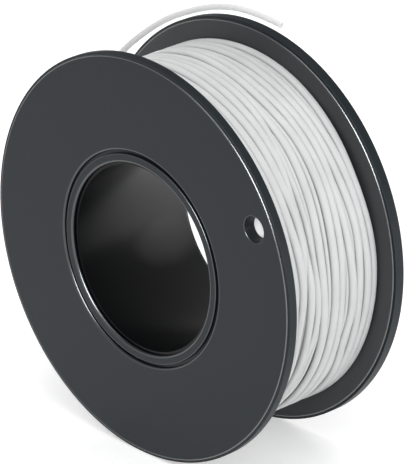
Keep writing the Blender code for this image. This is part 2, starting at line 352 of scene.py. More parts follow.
class Finish:
    """The nodes of one material or world."""

    def __init__(self, owner):
        owner.use_nodes = True
        self.tree = owner.node_tree
        self.tree.nodes.clear()

    def node(self, kind, settings=None, inputs=None):
        """A node of a type, with its settings set first and then the values or links of its sockets."""
        made = self.tree.nodes.new("ShaderNode" + kind)
        for name, setting in (settings or {}).items():
            setattr(made, name, setting)
        for name, value in (inputs or {}).items():
            self.join(made.inputs[name], value)
        return made

    def join(self, socket, value):
        if isinstance(value, Value):
            self.tree.links.new(value.socket, socket)
        elif isinstance(value, bpy.types.NodeSocket):
            self.tree.links.new(value, socket)
        elif isinstance(value, (tuple, list)) and len(value) == 3 and socket.type == "RGBA":
            socket.default_value = (*value, 1.0)
        else:
            socket.default_value = value

    def value(self, node, output=0):
        return Value(self, node.outputs[output])

    def noise(self, vector, scale, detail=2.0, roughness=0.5):
        """Cloudy noise between 0 and 1, its grains about 1 / scale metres wide."""
        inputs = {"Vector": vector, "Scale": scale, "Detail": detail, "Roughness": roughness}
        return self.value(self.node("TexNoise", None, inputs))

    def mix(self, factor, first, second):
        """A colour between two colours."""
        node = self.node("Mix", {"data_type": "RGBA"}, {0: factor, 6: first, 7: second})
        return node.outputs[2]

    def place(self):
        return self.node("TexCoord").outputs["Object"]

    def parts(self, vector):
        split = self.node("SeparateXYZ", None, {0: vector})
        return [self.value(split, i) for i in range(3)]


class Value:
    """A number socket that does arithmetic by adding Math nodes."""

    def __init__(self, finish, socket):
        self.finish, self.socket = finish, socket

    def maths(self, operation, *values, clamp=False):
        settings = {"operation": operation, "use_clamp": clamp}
        return self.finish.value(self.finish.node("Math", settings, dict(enumerate(values))))

    def __add__(self, other):
        return self.maths("ADD", self, other)

    def __radd__(self, other):
        return self.maths("ADD", other, self)

    def __sub__(self, other):
        return self.maths("SUBTRACT", self, other)

    def __rsub__(self, other):
        return self.maths("SUBTRACT", other, self)

    def __mul__(self, other):
        return self.maths("MULTIPLY", self, other)

    def __rmul__(self, other):
        return self.maths("MULTIPLY", other, self)

    def __truediv__(self, other):
        return self.maths("DIVIDE", self, other)

    def __pow__(self, other):
        return self.maths("POWER", self, other)

    def above(self, low, high):
        """0 below low, 1 above high, and smooth in between."""
        inputs = {0: self, 1: low, 2: high}
        settings = {"interpolation_type": "SMOOTHSTEP"}
        return self.finish.value(self.finish.node("MapRange", settings, inputs))

    def below(self, limit):
        """1 below the limit and 0 above it."""
        return self.maths("LESS_THAN", self, limit)

    def near(self, middle, reach):
        """1 close to the middle value, 0 further than reach from it."""
        away = self - middle
        return 1.0 - away.maths("ABSOLUTE", away).above(reach * 0.8, reach)


def new_material(name):
    """The material of this name and its empty nodes, or None for them where it has been made before."""
    material = bpy.data.materials.get(name)
    if material:
        return material, None
    material = bpy.data.materials.new(name)
    return material, Finish(material)


def close_material(finish, constants, links, normal=None):
    """Ends a material in one Principled shader: constants on its own sockets, then what varies."""
    shader = finish.node("BsdfPrincipled", None, {**constants, **links})
    if normal is not None:
        finish.join(shader.inputs["Normal"], normal)
    finish.node("OutputMaterial", None, {"Surface": shader.outputs[0]})


def bump(finish, height, strength, distance):
    inputs = {"Height": height, "Strength": strength, "Distance": distance}
    return finish.node("Bump", None, inputs).outputs[0]


# One short scratch on the front flange: its middle on X and above the axis, and half its width and height.
SCRATCH_PLACE = (0.0744, 0.0524)
SCRATCH_REACH = (0.0004, 0.0032)

# A patch of painted light in the tube, standing in for the lamps' light on its wall: its middle on Y and above
# the axis, half its length and height, and the two places on X between which it fades out.
LIT_PATCH_PLACE = (0.020, -0.0195)
LIT_PATCH_REACH = (0.018, 0.0085)
LIT_PATCH_SIDE = (-0.03, -0.02)

# Painted shade in the creases between the turns: depths under the outer turns' crest between which the painted
# shade fades in, how far a point faces outwards, from -1 to 1, between which the painted shade fades out, and
# where behind the front face the painted shade begins.
CREASE_SHADE_DEPTH = (0.0045, 0.0022)
CREASE_SHADE_FACING = (-0.6, 0.93)
CREASE_SHADE_START = (0.0068, 0.0078)


def moulded_plastic(looks, flange):
    """Satin black plastic: faint flow mottling, a fine grain, speckled rims, a few pale scuffs and one scratch,
    inner faces painted a lighter grey as painted bounce light from the white filament, and edges with a
    glossier coat and a lighter tint that is a painted highlight."""
    material, finish = new_material("moulded_black_plastic")
    if finish is None:
        return material
    place = finish.place()
    x, y, z = finish.parts(place)
    height = z - AXIS_HEIGHT
    radius = (x * x + height * height) ** 0.5
    rim = radius.above(flange.step_radius + 0.0003, flange.step_radius + 0.0006)
    mottle = finish.noise(place, 55.0, 3.0, 0.6)
    grain = finish.noise(place, 900.0, 2.0, 0.6)
    scuff = finish.noise(place, 210.0, 4.0, 0.7).above(0.66, 0.76)
    scratch = x.near(SCRATCH_PLACE[0], SCRATCH_REACH[0]) * height.near(SCRATCH_PLACE[1], SCRATCH_REACH[1])
    scratch = scratch * y.below(0.0) * grain.above(0.3, 0.6)
    wear = mottle.above(0.35, 0.75) * 0.2 + scuff * 0.3 + rim * grain.above(0.55, 0.75) * 0.5 + scratch
    rough = looks.plastic_roughness - 0.04 + mottle * 0.08 + rim * 0.06 + scuff * 0.08
    # X is turned round on the rear flange, so that one place does for both drive holes.
    across = x * y.maths("SIGN", y) * -1.0
    hole_x = flange.hole_place * math.cos(flange.hole_angle)
    hole_z = flange.hole_place * math.sin(flange.hole_angle)
    from_hole = ((across - hole_x) ** 2.0 + (height - hole_z) ** 2.0) ** 0.5
    # For each edge that gets the coat and the painted highlight: what it is measured by, its place, its
    # rounding (negative where it lies inward), its shine.
    burnished = [
        (radius, flange.lip_radius, flange.lip_rounding, 0.5),
        (radius, flange.groove_inner, -flange.groove_inner_rounding, 0.5),
        (radius, flange.groove_outer, flange.groove_outer_rounding, 0.4),
        (from_hole, flange.hole_radius, flange.hole_rounding, 0.35),
    ]
    half = flange.step_rounding / 2
    edges = radius.near(flange.step_radius - half, half + 0.0001)
    for distance, edge, rounding, shine in burnished:
        edges = edges + distance.near(edge + rounding / 2, abs(rounding) / 2) * shine
    tint = finish.mix(wear, tuple(looks.plastic), tuple(looks.plastic_worn))
    # Painted bounce light: the flanges' inner faces are painted a lighter, mottled grey for the light the white
    # filament throws on them.
    inner_face = -FRONT_FACE - flange.thickness
    painted_bounce_mask = 1.0 - y.maths("ABSOLUTE", y).above(inner_face + 0.0002, inner_face + 0.0004)
    tint = finish.mix(painted_bounce_mask * (0.7 + mottle * 0.3), tint, tuple(looks.plastic_painted_bounce))
    # Painted highlight: the edges are tinted lighter for the bright line they catch; the coat on the same edges
    # is real gloss.
    tint = finish.mix(edges * 0.3, tint, tuple(looks.plastic_painted_highlight))
    height_map = grain * (0.25 + rim * 0.75) + mottle * 0.4
    close_material(
        finish, {"IOR": 1.38, "Coat IOR": 2.1, "Coat Roughness": 0.2},
        {"Base Color": tint, "Roughness": rough, "Coat Weight": edges},
        bump(finish, height_map, 0.25, 0.0001),
    )
    return material


def drawn_plastic(looks):
    """Smoother black plastic of the tube, with faint clouds from its extrusion, a dull front end and a pale
    patch of painted light low on the left, near its rear end, standing in for the lamps' light on the wall."""
    material, finish = new_material("drawn_black_plastic")
    if finish is None:
        return material
    place = finish.place()
    cloud = finish.noise(place, 40.0, 3.0, 0.6)
    grain = finish.noise(place, 700.0, 2.0, 0.6)
    tint = finish.mix(cloud * 0.5, tuple(looks.tube), tuple(looks.tube_worn))
    x, y, z = finish.parts(place)
    # Painted light: a pale patch low on the left of the wall near the rear end, standing in for the lamps'
    # light there.
    along, up = (y - LIT_PATCH_PLACE[0]) / LIT_PATCH_REACH[0], (z - AXIS_HEIGHT - LIT_PATCH_PLACE[1]) / LIT_PATCH_REACH[1]
    from_patch = along**2.0 + up**2.0 + cloud
    painted_light_patch = (1.0 - from_patch.above(0.3, 2.6)) * (1.0 - x.above(*LIT_PATCH_SIDE)) * 0.6
    tint = finish.mix(painted_light_patch, tint, tuple(looks.tube_painted_light_patch))
    rough = looks.tube_roughness - 0.03 + cloud * 0.08
    shine = (y - FRONT_FACE) / (REAR_FACE - FRONT_FACE) * 0.9
    close_material(
        finish, {"IOR": 1.27, "Coat IOR": 1.5, "Coat Roughness": 0.3},
        {"Base Color": tint, "Roughness": rough, "Coat Weight": shine},
        bump(finish, grain * 0.3 + cloud * 0.6, 0.2, 0.0001),
    )
    return material


def white_filament(looks, winding, single=False):
    """Milky white plastic thread: soft bands along its length and fine drawing lines round it. The winding has
    painted shade down between its turns, and a single thread that stands clear takes a lighter copy of the
    colour, painted light for the light it lets through."""
    material, finish = new_material("single_filament" if single else "white_filament")
    if finish is None:
        return material
    run = finish.node("UVMap", {"uv_map": "filament"}).outputs[0]
    along, around, _ = finish.parts(run)
    stretched = finish.node("CombineXYZ", None, {0: along * 60.0, 1: around * 1400.0}).outputs[0]
    lines = finish.noise(stretched, 1.0, 2.0, 0.5)
    bands = finish.noise(finish.place(), 70.0, 2.0, 0.5)
    # Painted light: the free end takes a lighter copy of the filament colour for the light a lone thread lets
    # through; its subsurface scattering is real.
    if single:
        tint = finish.mix(bands * 0.1, tuple(looks.filament_single_painted_brighter), tuple(looks.filament))
        constants = {"Subsurface Weight": 1.0, "Subsurface Scale": 0.003}
    else:
        milky = bands.above(0.3, 0.75) * 0.6 + lines * 0.1
        tint = finish.mix(milky, tuple(looks.filament), tuple(looks.filament_shade))
        x, y, z = finish.parts(finish.place())
        height = z - AXIS_HEIGHT
        crest = winding.turn_radius + winding.radius
        # Painted shade: the filament is darkened where it lies deep and where it faces away from the outside,
        # from a little behind the front face on.
        depth_shade = 1.0 - ((x * x + height * height) ** 0.5).above(*(crest - depth for depth in CREASE_SHADE_DEPTH))
        outward = around.maths("COSINE", around / winding.radius) * -1.0
        deep = depth_shade.maths("ADD", depth_shade, 1.0 - outward.above(*CREASE_SHADE_FACING), clamp=True)
        deep = deep * y.above(*(FRONT_FACE + depth for depth in CREASE_SHADE_START))
        tint = finish.mix(deep * 0.95, tint, tuple(looks.filament_painted_shade))
        constants = {"Subsurface Weight": 0.12, "Subsurface Scale": 0.001}
    rough = looks.filament_roughness - 0.04 + bands * 0.08
    constants = {"IOR": 1.46, "Subsurface Radius": (1.0, 1.0, 0.9), **constants}
    close_material(
        finish, constants, {"Base Color": tint, "Roughness": rough},
        bump(finish, lines, 0.12, 0.00005),
    )
    return material


# ---------------------------------------------------------------- filament routes

STEPS_PER_TURN = 180
TURNS = 14

# The outer turns start at this angle, rise by START_DROP millimetres over the first START_RISE degrees, and run
# straight for the first START_STRAIGHT degrees. The first and the last lie END_SIDE millimetres from the
# flanges' outer faces.
FIRST_ANGLE = 300.0
START_DROP = 3.0
START_RISE = 25.0
START_STRAIGHT = 60.0
END_SIDE = 7.6

# The last part turn, in degrees, and the shares of it by which it has climbed and at which it starts to cross.
CROSSING_TURN = 125.0
CLIMB_SHARE = 0.45
CROSSING_START = 0.3

# How deep a turn nests between two turns above it, at least and at most, in filament diameters.
NESTING = (0.5, 0.9)

# Where the middle of each outer turn lies: angle round the axis in degrees and millimetres from the front
# flange's outer face, with the angle falling as the filament runs on.
TURN_PLACES = [
    [(110, 7.6), (40, 7.6), (-40, 7.9)],
    [(110, 10.7), (40, 11.1), (-40, 12.3)],
    [(110, 14.2), (60, 15.0), (20, 15.2), (-10, 15.8), (-40, 16.9)],
    [(100, 19.0), (73, 19.3), (40, 19.6), (25, 19.8), (14, 20.9), (3, 21.3), (-2, 20.5), (-11, 19.0),
     (-21, 20.0), (-40, 20.6)],
    [(95, 26.0), (75, 24.5), (50, 24.5), (38, 24.0), (25, 24.6), (16, 23.9), (7, 22.3), (-3, 22.0),
     (-40, 22.9)],
    [(95, 30.5), (75, 29.6), (50, 28.7), (30, 27.3), (10, 26.9), (-2, 26.4), (-13, 25.9), (-24, 25.8),
     (-34, 25.0)],
    [(90, 33.5), (60, 33.2), (51, 31.7), (40, 29.9), (25, 28.9), (11, 28.8), (0, 30.0), (-12, 30.1),
     (-18, 28.5), (-40, 28.6)],
    [(90, 38.0), (70, 37.4), (57, 36.9), (45, 37.3), (32, 36.1), (19, 34.5), (11, 33.9), (-5, 35.0),
     (-18, 37.0), (-34, 38.5)],
    [(95, 44.9), (85, 43.4), (60, 43.2), (50, 44.6), (35, 44.6), (14, 42.5), (-13, 42.4), (-34, 44.5)],
    [(90, 48.0), (70, 47.0), (57, 48.2), (40, 48.5), (14, 47.0), (-5, 45.8), (-24, 47.8), (-40, 50.2)],
    [(91, 50.6), (65, 51.8), (47, 53.1), (27, 51.8), (10, 52.5), (-10, 53.8), (-20, 52.6), (-29, 55.2),
     (-38, 58.0)],
    [(95, 56.8), (72, 56.3), (52, 56.7), (35, 56.9), (14, 58.4), (6, 57.8), (-18, 58.6), (-32, 60.7),
     (-41, 63.3)],
    [(95, 61.1), (77, 60.2), (62, 60.0), (45, 61.2), (19, 62.1), (-8, 63.1), (-21, 62.6), (-35, 63.6)],
    [(95, 66.8), (70, 67.1), (45, 66.1), (32, 65.3), (8, 66.5), (-13, 66.4), (-40, 67.1)],
]

# Where a turn lies lower than the others, pressed between its neighbours: (turn, angle, millimetres).
TURN_DROPS = [
    (4, 12, 0.0), (4, 2, 1.4), (4, -12, 2.2), (4, -45, 2.0), (5, 110, 0.0),
    (5, 45, 0.0), (5, 30, 1.8), (5, 14, 1.8), (5, 2, 0.2), (5, -2, 0.0),
]

# The free end's route: degrees round the axis from where it leaves the winding, height over the crossing turn
# and drift towards the rear flange, both in millimetres.
FREE_END_ANGLE = 175.0
FREE_END_SIDE = 9.8
FREE_END_ROUTE = [
    (10.0, 0.5, 0.3),
    (22.0, 2.0, 0.8),
    (34.0, 4.0, 1.4),
    (44.5, 6.0, 2.1),
    (55.0, 8.2, 3.0),
    (65.0, 11.7, 4.0),
    (74.0, 15.3, 5.0),
    (82.0, 19.3, 5.9),
    (89.0, 22.6, 6.7),
    (95.0, 24.6, 7.4),
    (100.0, 26.2, 8.0),
    (103.5, 27.4, 8.5),
]
SEAT_CLEARANCE = 0.0003
CURVE_STEPS = 40


def outer_route(winding):
    """The outer turns as falling angle, side and radius, then the last part turn back over them.

    The side follows TURN_PLACES. The radius is the turn radius less the drops; over the last part turn it
    first climbs by the crossing rise and the side then runs to where the free end leaves.
    """
    knots = [(at, FRONT_FACE + END_SIDE * MM) for at in (FIRST_ANGLE, FIRST_ANGLE - START_STRAIGHT)]
    for turn, places in enumerate(TURN_PLACES):
        knots += [(at - 360.0 * turn, FRONT_FACE + side * MM) for at, side in places]
    last = FIRST_ANGLE - 360.0 * TURNS
    knots = np.array([(-at, side) for at, side in knots] + [(-last, REAR_FACE - END_SIDE * MM)])
    start = [(-FIRST_ANGLE, START_DROP * MM), (-FIRST_ANGLE + START_RISE, 0.0)]
    drops = [(-at + 360.0 * turn, drop * MM) for turn, at, drop in TURN_DROPS]
    drops = np.array([*start, *drops, (-last + CROSSING_TURN, 0.0)])
    count = round((360.0 * TURNS + CROSSING_TURN) / 360.0 * STEPS_PER_TURN)
    fallen = np.linspace(-FIRST_ANGLE, -last + CROSSING_TURN, count + 1)
    side = through(np.minimum(fallen, -last), knots)
    radius = winding.turn_radius - np.interp(fallen, *drops.T)
    part = (fallen + last) / CROSSING_TURN
    radius = radius + winding.crossing_rise * smooth_step(part / CLIMB_SHARE)
    crossed = smooth_step((part - CROSSING_START) / (1 - CROSSING_START))
    side = side + (FREE_END_SIDE * MM - side) * crossed
    return fallen, side, radius


def free_end_start(winding):
    """The free end's first point and its direction there, from the end of the crossing turn."""
    turn = math.radians(FREE_END_ANGLE)
    radius = winding.turn_radius + winding.crossing_rise
    last = round_axis(turn, radius, FREE_END_SIDE * MM)
    direction = np.array([math.sin(turn), 0.0, -math.cos(turn)])
    return last + direction * 2 * winding.radius, direction


def free_end_path(winding, spacing):
    """Evenly spaced points on the Catmull-Rom curve through the free end's knots."""
    start, direction = free_end_start(winding)
    begin = start + direction * SEAT_CLEARANCE
    turns, rises, drifts = np.array(FREE_END_ROUTE).T
    radius = winding.turn_radius + winding.crossing_rise + rises * MM
    rest = round_axis(np.radians(FREE_END_ANGLE - turns), radius, (FREE_END_SIDE + drifts) * MM)
    knots = np.concatenate([[begin, begin + direction * 2 * winding.radius], rest])
    padded = np.concatenate([[2 * knots[0] - knots[1]], knots, [2 * knots[-1] - knots[-2]]])
    a, b, c, d = (padded[i:len(knots) - 1 + i, None] for i in range(4))
    t = np.linspace(0.0, 1.0, CURVE_STEPS, endpoint=False)[None, :, None]
    bend, twist = 2 * a - 5 * b + 4 * c - d, 3 * b - a - 3 * c + d
    fine = (0.5 * (2 * b + (c - a) * t + bend * t**2 + twist * t**3)).reshape(-1, 3)
    fine = np.concatenate([fine, knots[-1:]])
    run = np.concatenate([[0.0], np.cumsum(np.linalg.norm(np.diff(fine, axis=0), axis=1))])
    wanted = np.linspace(0.0, run[-1], round(run[-1] / spacing) + 1)
    return np.stack([np.interp(wanted, run, fine[:, k]) for k in range(3)], axis=1)


# ---------------------------------------------------------------- operators


class SPOOL_OT_camera(bpy.types.Operator):
    """Sets the camera that looks at the front flange from the right and above"""

    bl_idname = "spool.camera"
    bl_label = "Camera"

    def execute(self, context):
        stage = context.scene.spool_stage
        data = bpy.data.cameras.new("camera")
        data.lens = stage.camera_lens
        data.sensor_width = 36.0
        data.clip_start = 0.1
        data.clip_end = 100.0
        camera = bpy.data.objects.new("camera", data)
        context.scene.collection.objects.link(camera)
        level = math.cos(stage.camera_elevation)
        heading = Vector((
            -math.sin(stage.camera_azimuth) * level,
            math.cos(stage.camera_azimuth) * level,
            -math.sin(stage.camera_elevation),
        ))
        camera.location = stage.camera_place
        camera.rotation_mode = "QUATERNION"
        turned_to = heading.to_track_quat("-Z", "Y")
        camera.rotation_quaternion = turned_to @ Quaternion((0.0, 0.0, 1.0), stage.camera_roll)
        context.scene.camera = camera
        return {"FINISHED"}


class SPOOL_OT_free_end(bpy.types.Operator):
    """Adds the stiff loose end that springs off the winding in an open arc"""

    bl_idname = "spool.free_end"
    bl_label = "Free end"

    SPACING = 0.0015
    SIDES = 24
    HOLLOW = 0.0012

    def execute(self, context):
        scene = context.scene
        winding = scene.spool_winding
        path = free_end_path(winding, self.SPACING)
        material = white_filament(scene.spool_finishes, winding, True)
        body = filament_along(path, winding.radius, self.SIDES, hollow=self.HOLLOW)
        piece = add_piece("free_end", [body], "filament_free_end", material, 50.0)
        return {"FINISHED"}


class SPOOL_OT_flanges(bpy.types.Operator):
    """Adds the two moulded flanges, each with its ring groove, stepped rim, collar and drive hole"""

    bl_idname = "spool.flanges"
    bl_label = "Flanges"

    # Steps round the axis, the steps on each side of the drive hole that its block takes, the rings across the
    # block, and the rows between the block's border and the hole, as shares of the way.
    STEPS = 360
    HOLE_SPAN = 6
    HOLE_RINGS = 13
    RING_SPACING = 0.0015
    PATCH_ROWS = (0.0, 0.3, 0.6, 0.85, 1.0)

    def rim(self, flange, direction):
        """Corners of the rim: the side that faces the front, at -Y, steps back before the rim."""
        step, full, thick = flange.step_radius, flange.rim_radius, flange.thickness
        depth = flange.step_depth
        front = [(step, 0.0, flange.step_rounding), (step, depth, 0.0), (full, depth, flange.rim_rounding)]
        if direction > 0:
            return [*front, (full, thick, flange.front_back_rounding)]
        mirrored = [(radius, thick - at, rounding) for radius, at, rounding in front[::-1]]
        return [(full, 0.0, flange.rear_back_rounding), *mirrored]

    def outline(self, flange, rings, direction):
        """Corners (radius, depth, rounding) of the flange, from the lip out to the rim and back inside."""
        edge = flange.edge_rounding
        lip = flange.lip_radius if direction > 0 else flange.rear_lip_radius
        thick, collar_end = flange.thickness, flange.thickness + flange.collar_length
        corners = [
            (lip, 0.0, flange.lip_rounding),
            (flange.groove_inner, 0.0, flange.groove_inner_rounding),
            (flange.groove_inner, flange.groove_depth, edge),
            (flange.groove_outer, flange.groove_depth, edge),
            (flange.groove_outer, 0.0, flange.groove_outer_rounding),
            *((ring, 0.0, 0.0) for ring in rings),
            *self.rim(flange, direction),
            *((ring, thick, 0.0) for ring in rings[::-1]),
            (flange.collar_radius, thick, edge),
            (flange.collar_radius, collar_end, edge),
            (flange.socket_radius, collar_end, edge),
            (flange.socket_radius, flange.lip_thickness, edge),
            (lip, flange.lip_thickness, edge),
        ]
        return rounded_outline(corners)

    def hole_patch(self, flange, rings, hole_step, outer_face, direction):
        """The drive hole: a grid that runs from a block's border on the outer face, through the hole, to the
        same border on the inner face.

        Point (k, u) is border(u) (1 - w) + (middle + r (cos g, sin g)) w in the plane of the faces, with g the
        direction from the hole's middle to border(u), and w, r and the depth given for each row k. The hole's
        radius shrinks by the taper towards the inner face.
        """
        span = np.arange(-self.HOLE_SPAN, self.HOLE_SPAN + 1)
        step = 2 * math.pi / self.STEPS
        across, out_and_in = len(span) - 1, len(rings) - 1
        turns = np.concatenate([
            span[:-1], np.full(out_and_in, span[-1]), span[:0:-1], np.full(out_and_in, span[0]),
        ])
        radii = np.concatenate([
            np.full(across, rings[0]), rings[:-1], np.full(across, rings[-1]), rings[:0:-1],
        ])
        at = (hole_step + turns) * step
        border = np.stack([radii * np.cos(at), radii * np.sin(at)], axis=-1)
        hole_at = hole_step * step
        middle = flange.hole_place * np.array([math.cos(hole_at), math.sin(hole_at)])
        out = border - middle
        out /= np.linalg.norm(out, axis=1)[:, None]
        edge = flange.hole_rounding
        rise = np.linspace(0.0, math.pi / 2, ARC_STEPS + 1)

        def half(radius):
            """Rows (w, r, depth) along one face and round the hole's edge there."""
            face = [(w, radius + edge + EDGE_SUPPORT, 0.0) for w in self.PATCH_ROWS]
            arc = [(1.0, radius + edge * (1 - math.sin(a)), edge * (1 - math.cos(a))) for a in rise]
            return face + arc + [(1.0, radius, edge + EDGE_SUPPORT)]

        inner = half(flange.hole_radius - flange.hole_taper)[::-1]
        rows = np.array(half(flange.hole_radius) + [(w, r, flange.thickness - depth) for w, r, depth in inner])
        w, r, depth = (rows[:, k, None, None] for k in range(3))
        flat = border[None] * (1 - w) + (middle + r * out[None]) * w
        side = np.broadcast_to(outer_face + direction * depth[..., 0], flat.shape[:2])
        points = np.stack([flat[..., 0], side, AXIS_HEIGHT + flat[..., 1]], axis=-1)
        return points, grid_faces(*points.shape[:2], False, True)

    def make(self, context, name, outer_face, direction):
        flange = context.scene.spool_flange
        middle_ring = (self.HOLE_RINGS - 1) / 2
        rings = flange.hole_place + (np.arange(self.HOLE_RINGS) - middle_ring) * self.RING_SPACING
        outline = self.outline(flange, rings, direction)
        points = turned(outline, self.STEPS, outer_face, direction)
        faces = grid_faces(*points.shape[:2], True, True)
        hole_angle = math.pi / 2 - direction * (math.pi / 2 - flange.hole_angle)
        hole_step = round(hole_angle * self.STEPS / (2 * math.pi))
        steps = np.arange(self.STEPS)
        in_steps = (steps >= hole_step - self.HOLE_SPAN) & (steps < hole_step + self.HOLE_SPAN)
        next_point = np.roll(outline, -1, axis=0)
        between = [np.minimum(outline[:, 0], next_point[:, 0]), np.maximum(outline[:, 0], next_point[:, 0])]
        on_rings = (between[0] > rings[0] - 1e-6) & (between[1] < rings[-1] + 1e-6)
        kept = faces[~(in_steps[:, None] & on_rings[None, :])]
        patch = self.hole_patch(flange, rings, hole_step, outer_face, direction)
        material = moulded_plastic(context.scene.spool_finishes, flange)
        return add_piece(name + "_moulding", [(points, kept), patch], name, material)

    def execute(self, context):
        self.make(context, "front_flange", FRONT_FACE, 1)
        self.make(context, "rear_flange", REAR_FACE, -1)
        return {"FINISHED"}


class SPOOL_OT_core_tube(bpy.types.Operator):
    """Adds the tube that joins the flanges"""

    bl_idname = "spool.core_tube"
    bl_label = "Core tube"

    def execute(self, context):
        tube = context.scene.spool_tube
        far_end = REAR_FACE - FRONT_FACE - tube.end_gap
        corners = [
            (tube.front_bore, tube.end_gap, tube.rounding),
            (tube.outer_radius, tube.end_gap, tube.rounding),
            (tube.outer_radius, far_end, tube.rounding),
            (tube.rear_bore, far_end, tube.rounding),
        ]
        points = turned(rounded_outline(corners), RING_STEPS, FRONT_FACE, 1)
        faces = grid_faces(*points.shape[:2], True, True)
        material = drawn_plastic(context.scene.spool_finishes)
        add_piece("core_tube_body", [(points, faces)], "core_tube", material)
        return {"FINISHED"}


class SPOOL_OT_inner_turns(bpy.types.Operator):
    """Adds the pack below the two layers that show, and the turns that lie in the outer layer's gaps"""

    bl_idname = "spool.inner_turns"
    bl_label = "Inner turns"

    # Steps across one arch of the pack's top, the height at which the arches meet, as a share, and the sides
    # of the lower turns.
    ARCH_STEPS = 6
    ARCH_FOOT = 0.04
    SIDES = 12

    def pack(self, context):
        """The pack's ring: its top follows |sin| of the place along the axis, one arch for each turn."""
        scene = context.scene
        flange, tube, winding = scene.spool_flange, scene.spool_tube, scene.spool_winding
        start = flange.thickness + winding.clearance
        stop = REAR_FACE - FRONT_FACE - start
        count = round((stop - start) / winding.pack_pitch)
        depth = np.linspace(start, stop, count * self.ARCH_STEPS + 1)
        arch = np.abs(np.sin(np.linspace(0.0, math.pi * count, len(depth))))
        arch = arch * (1 - self.ARCH_FOOT) + self.ARCH_FOOT
        radius = winding.pack_radius - winding.radius * (1 - np.sqrt(arch))
        on_collar = flange.collar_radius + winding.clearance
        on_tube = tube.outer_radius + winding.clearance
        collar_end = flange.thickness + flange.collar_length + winding.clearance
        width = REAR_FACE - FRONT_FACE
        inside = [
            (on_collar, stop), (on_collar, width - collar_end), (on_tube, width - collar_end),
            (on_tube, collar_end), (on_collar, collar_end), (on_collar, start),
        ]
        outline = np.concatenate([np.stack([radius, depth], axis=1), inside])
        outline = np.concatenate([outline, outline[:1]])
        turn = np.linspace(0.0, 2 * math.pi, RING_STEPS + 1)[:, None]
        points = round_axis(turn, outline[None, :, 0], FRONT_FACE + outline[None, :, 1])
        faces = grid_faces(*points.shape[:2], False, False)
        run = np.concatenate([[0.0], np.cumsum(np.linalg.norm(np.diff(outline, axis=0), axis=1))])
        uvs = np.stack(np.broadcast_arrays(turn * winding.pack_radius, run[None, :]), axis=-1)
        return points, faces, uvs.reshape(-1, 2)[faces]

    def lower_turns(self, winding):
        """The turns of the layer below: each lies midway between two outer turns g apart, and as deep below
        them as round filaments of diameter d touch: the root of d squared less g squared over 4.
        """
        fallen, side, _ = outer_route(winding)
        count = STEPS_PER_TURN * (TURNS - 1)
        here, beside = side[:count], side[STEPS_PER_TURN:STEPS_PER_TURN + count]
        gap = np.clip(beside - here, 0.0, 4 * winding.radius)
        diameter = 2 * winding.radius
        depth = np.sqrt(np.maximum(diameter**2 - gap**2 / 4, 0.0))
        depth = np.clip(depth, NESTING[0] * diameter, NESTING[1] * diameter)
        path = round_axis(np.radians(-fallen[:count]), winding.turn_radius - depth, (here + beside) / 2)
        return filament_along(path, winding.radius, self.SIDES)

    def execute(self, context):
        scene = context.scene
        material = white_filament(scene.spool_finishes, scene.spool_winding)
        add_piece("inner_turns", [self.pack(context)], "filament_pack", material, 60.0)
        add_piece("lower_turns", [self.lower_turns(scene.spool_winding)], "filament_pack", material, 60.0)
        return {"FINISHED"}


class SPOOL_OT_outer_turns(bpy.types.Operator):
    """Adds the turns that show, as one unbroken filament"""

    bl_idname = "spool.outer_turns"
    bl_label = "Outer turns"

    # Sides of the turns, and how many steps on each side of a point its lean is averaged over.
    SIDES = 18
    LEAN_REACH = 6

    def lean(self, winding, fallen, side, count):
        """How much wider each turn is towards the turn before it, to fill the gap there: gap / r - 1, held
        between 1 and the widest lean, and averaged along the filament.
        """
        last = np.searchsorted(fallen, 360.0 * TURNS - FIRST_ANGLE)
        lean = np.ones(count)
        gap = side[STEPS_PER_TURN:last] - side[:last - STEPS_PER_TURN]
        lean[STEPS_PER_TURN:last] = np.clip(gap / winding.radius - 1.0, 1.0, winding.widest_lean)
        window = 2 * self.LEAN_REACH + 1
        return np.convolve(np.pad(lean, self.LEAN_REACH, "edge"), np.full(window, 1 / window), "valid")

    def execute(self, context):
        scene = context.scene
        winding = scene.spool_winding
        fallen, side, radius = outer_route(winding)
        path = round_axis(np.radians(-fallen), radius, side)
        start, _ = free_end_start(winding)
        path = np.concatenate([path, [start]])
        lean = self.lean(winding, fallen, side, len(path))
        material = white_filament(scene.spool_finishes, winding)
        outer = filament_along(path, winding.radius, self.SIDES, lean)
        add_piece("outer_turns", [outer], "filament_outer_layer", material, 60.0)
        return {"FINISHED"}


BOTH_RAYS = ("diffuse", "glossy")
FLANGES = ("front_flange_moulding", "rear_flange_moulding")

# Each lamp's name, direction from the spool, distance, size, rays, and the pieces it lights where not all. Its
# brightness is the stage's property of the same name.
LAMPS = [
    ("key", (0.50, -0.50, 0.70), 1.6, 1.05, BOTH_RAYS, ()),
    ("edge_light", (0.62, -0.50, 0.60), 1.6, 1.2, ("glossy",), FLANGES),
    ("front_light", (0.60, -0.68, 0.42), 1.6, 0.8, ("diffuse",), ("inner_turns",)),
    ("top", (0.10, -0.05, 0.99), 2.0, 1.6, BOTH_RAYS, ()),
    ("side", (0.95, 0.30, 0.10), 2.0, 0.8, BOTH_RAYS, ()),
    ("back", (-0.70, 0.60, 0.45), 2.0, 1.2, ("diffuse",), ()),
]

# The floor's glow near the spool and far off, and the distances between which it changes.
FLOOR_GLOW = (0.45, 0.9)
FLOOR_GLOW_REACH = (0.4, 2.0)
FLOOR_CORNERS = 64

# The surroundings are bright below the first height and grey above the second, and so too from front to back.
BRIGHT_HEIGHTS = (0.08, 0.42)
BRIGHT_DEPTHS = (-0.1, 0.3)


